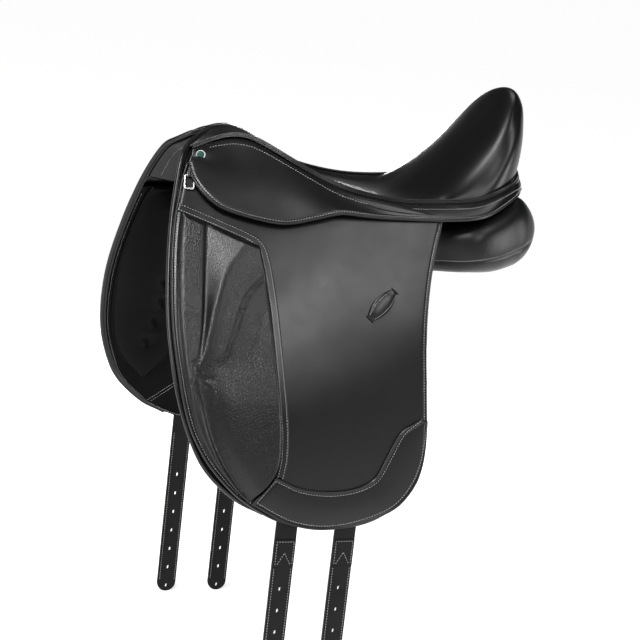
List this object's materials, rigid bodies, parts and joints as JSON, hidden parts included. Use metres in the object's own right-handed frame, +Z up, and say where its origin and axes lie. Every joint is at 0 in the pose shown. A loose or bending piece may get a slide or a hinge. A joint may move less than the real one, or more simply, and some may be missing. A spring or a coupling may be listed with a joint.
{
  "type": "dressage saddle",
  "caption": "Dressage saddle: deep stuffed seat on a sprung tree, long straight lifting flaps with knee blocks, skirts over stirrup bars, panels and girth straps with buckle holes.",
  "frame": {"origin": "middle of the gullet between the panels, on the middle plane of the saddle, 120 mm below the top of the pommel", "axes": "+X forward to the pommel, +Y to the saddle's left (near) side, +Z up"},
  "size_m": [0.4819, 0.4464, 0.7461],
  "materials": {
    "smooth_leather": "matte black leather",
    "grained_leather": "pebble grained black leather",
    "seat_leather": "satin black leather",
    "panel_leather": "soft creased black leather",
    "strap_leather": "black strap leather",
    "piping_leather": "satin black piping",
    "dee_chrome": "polished",
    "bright_steel": "bright",
    "tree_steel": "painted",
    "tree_wood": "laminated beech",
    "webbing": "woven webbing",
    "foam": "seat foam"
  },
  "bodies": {
    "saddle": {"tree_head": "tree_wood", "tree_rail_left": "tree_wood", "tree_rail_right": "tree_wood", "tree_cantle": "tree_wood", "gullet_plate": "tree_steel", "tree_rivets": "tree_steel", "stirrup_bar_left": "bright_steel", "stirrup_bar_right": "bright_steel", "catch_pin_left": "bright_steel", "catch_pin_right": "bright_steel", "seat_webbing": "webbing", "girth_web_front": "webbing", "girth_web_rear": "webbing", "seat_foam": "foam", "seat_cover": "seat_leather", "seat_welt": "piping_leather", "pommel_facing": "panel_leather", "skirt_band": "smooth_leather", "skirt_stud_left": "bright_steel", "skirt_stud_right": "bright_steel", "flap_top_left": "smooth_leather", "flap_top_right": "smooth_leather", "rim_piping_left": "piping_leather", "rim_piping_right": "piping_leather", "sweat_flap_left": "panel_leather", "sweat_flap_right": "panel_leather", "panel_left": "panel_leather", "panel_right": "panel_leather", "front_pad_left": "panel_leather", "front_pad_right": "panel_leather", "dee_tab_left": "smooth_leather", "dee_tab_right": "smooth_leather"},
    "flap_body_left": {"flap_left": "smooth_leather", "knee_pad_left": "grained_leather", "flap_patch_left": "smooth_leather", "keeper_left": "smooth_leather"},
    "skirt_body_left": {"skirt_left": "smooth_leather"},
    "catch_body_left": {"bar_catch_left": "bright_steel"},
    "dee_body_left": {"dee_left": "dee_chrome"},
    "strap_body_left_front": {"girth_strap_left_front": "strap_leather"},
    "strap_body_left_rear": {"girth_strap_left_rear": "strap_leather"},
    "flap_body_right": {"flap_right": "smooth_leather", "knee_pad_right": "grained_leather", "flap_patch_right": "smooth_leather", "keeper_right": "smooth_leather"},
    "skirt_body_right": {"skirt_right": "smooth_leather"},
    "catch_body_right": {"bar_catch_right": "bright_steel"},
    "dee_body_right": {"dee_right": "dee_chrome"},
    "strap_body_right_front": {"girth_strap_right_front": "strap_leather"},
    "strap_body_right_rear": {"girth_strap_right_rear": "strap_leather"}
  },
  "joints": [
    {"name": "flap_lift_left", "type": "hinge", "parent": "saddle", "child": "flap_body_left", "pos_m": [0.19, 0.09122, 0.042], "axis": [0.9773, -0.212, 0], "range_deg": [0, 70]},
    {"name": "skirt_lift_left", "type": "hinge", "parent": "saddle", "child": "skirt_body_left", "pos_m": [0.228, 0.055, 0.0917], "axis": [0.8717, -0.4304, 0.2343], "range_deg": [0, 70]},
    {"name": "catch_turn_left", "type": "hinge", "parent": "saddle", "child": "catch_body_left", "pos_m": [0.12594, 0.09515, 0.05763], "axis": [0.1998, 0.8207, 0.5352], "range_deg": [0, 90]},
    {"name": "dee_swing_left", "type": "hinge", "parent": "saddle", "child": "dee_body_left", "pos_m": [0.22851, 0.06365, 0.0715], "axis": [0.967, -0.2549, 0], "range_deg": [0, 12]},
    {"name": "strap_swing_left_front", "type": "hinge", "parent": "saddle", "child": "strap_body_left_front", "pos_m": [0.118, 0.21413, -0.3183], "axis": [1, 0, 0], "range_deg": [-35, 60]},
    {"name": "strap_swing_left_rear", "type": "hinge", "parent": "saddle", "child": "strap_body_left_rear", "pos_m": [0.045, 0.21421, -0.3183], "axis": [1, 0, 0], "range_deg": [-35, 60]},
    {"name": "flap_lift_right", "type": "hinge", "parent": "saddle", "child": "flap_body_right", "pos_m": [0.19, -0.09122, 0.042], "axis": [-0.9773, -0.212, 0], "range_deg": [0, 70]},
    {"name": "skirt_lift_right", "type": "hinge", "parent": "saddle", "child": "skirt_body_right", "pos_m": [0.228, -0.055, 0.0917], "axis": [-0.8717, -0.4304, -0.2343], "range_deg": [0, 70]},
    {"name": "catch_turn_right", "type": "hinge", "parent": "saddle", "child": "catch_body_right", "pos_m": [0.12594, -0.09515, 0.05763], "axis": [-0.1998, 0.8207, -0.5352], "range_deg": [0, 90]},
    {"name": "dee_swing_right", "type": "hinge", "parent": "saddle", "child": "dee_body_right", "pos_m": [0.22851, -0.06365, 0.0715], "axis": [-0.967, -0.2549, 0], "range_deg": [0, 12]},
    {"name": "strap_swing_right_front", "type": "hinge", "parent": "saddle", "child": "strap_body_right_front", "pos_m": [0.118, -0.21413, -0.3183], "axis": [-1, 0, 0], "range_deg": [-35, 60]},
    {"name": "strap_swing_right_rear", "type": "hinge", "parent": "saddle", "child": "strap_body_right_rear", "pos_m": [0.045, -0.21421, -0.3183], "axis": [-1, 0, 0], "range_deg": [-35, 60]}
  ],
  "couplings": [
    {"joint": "skirt_lift_left", "follows": "flap_lift_left", "ratio": 1},
    {"joint": "skirt_lift_right", "follows": "flap_lift_right", "ratio": 1}
  ]
}
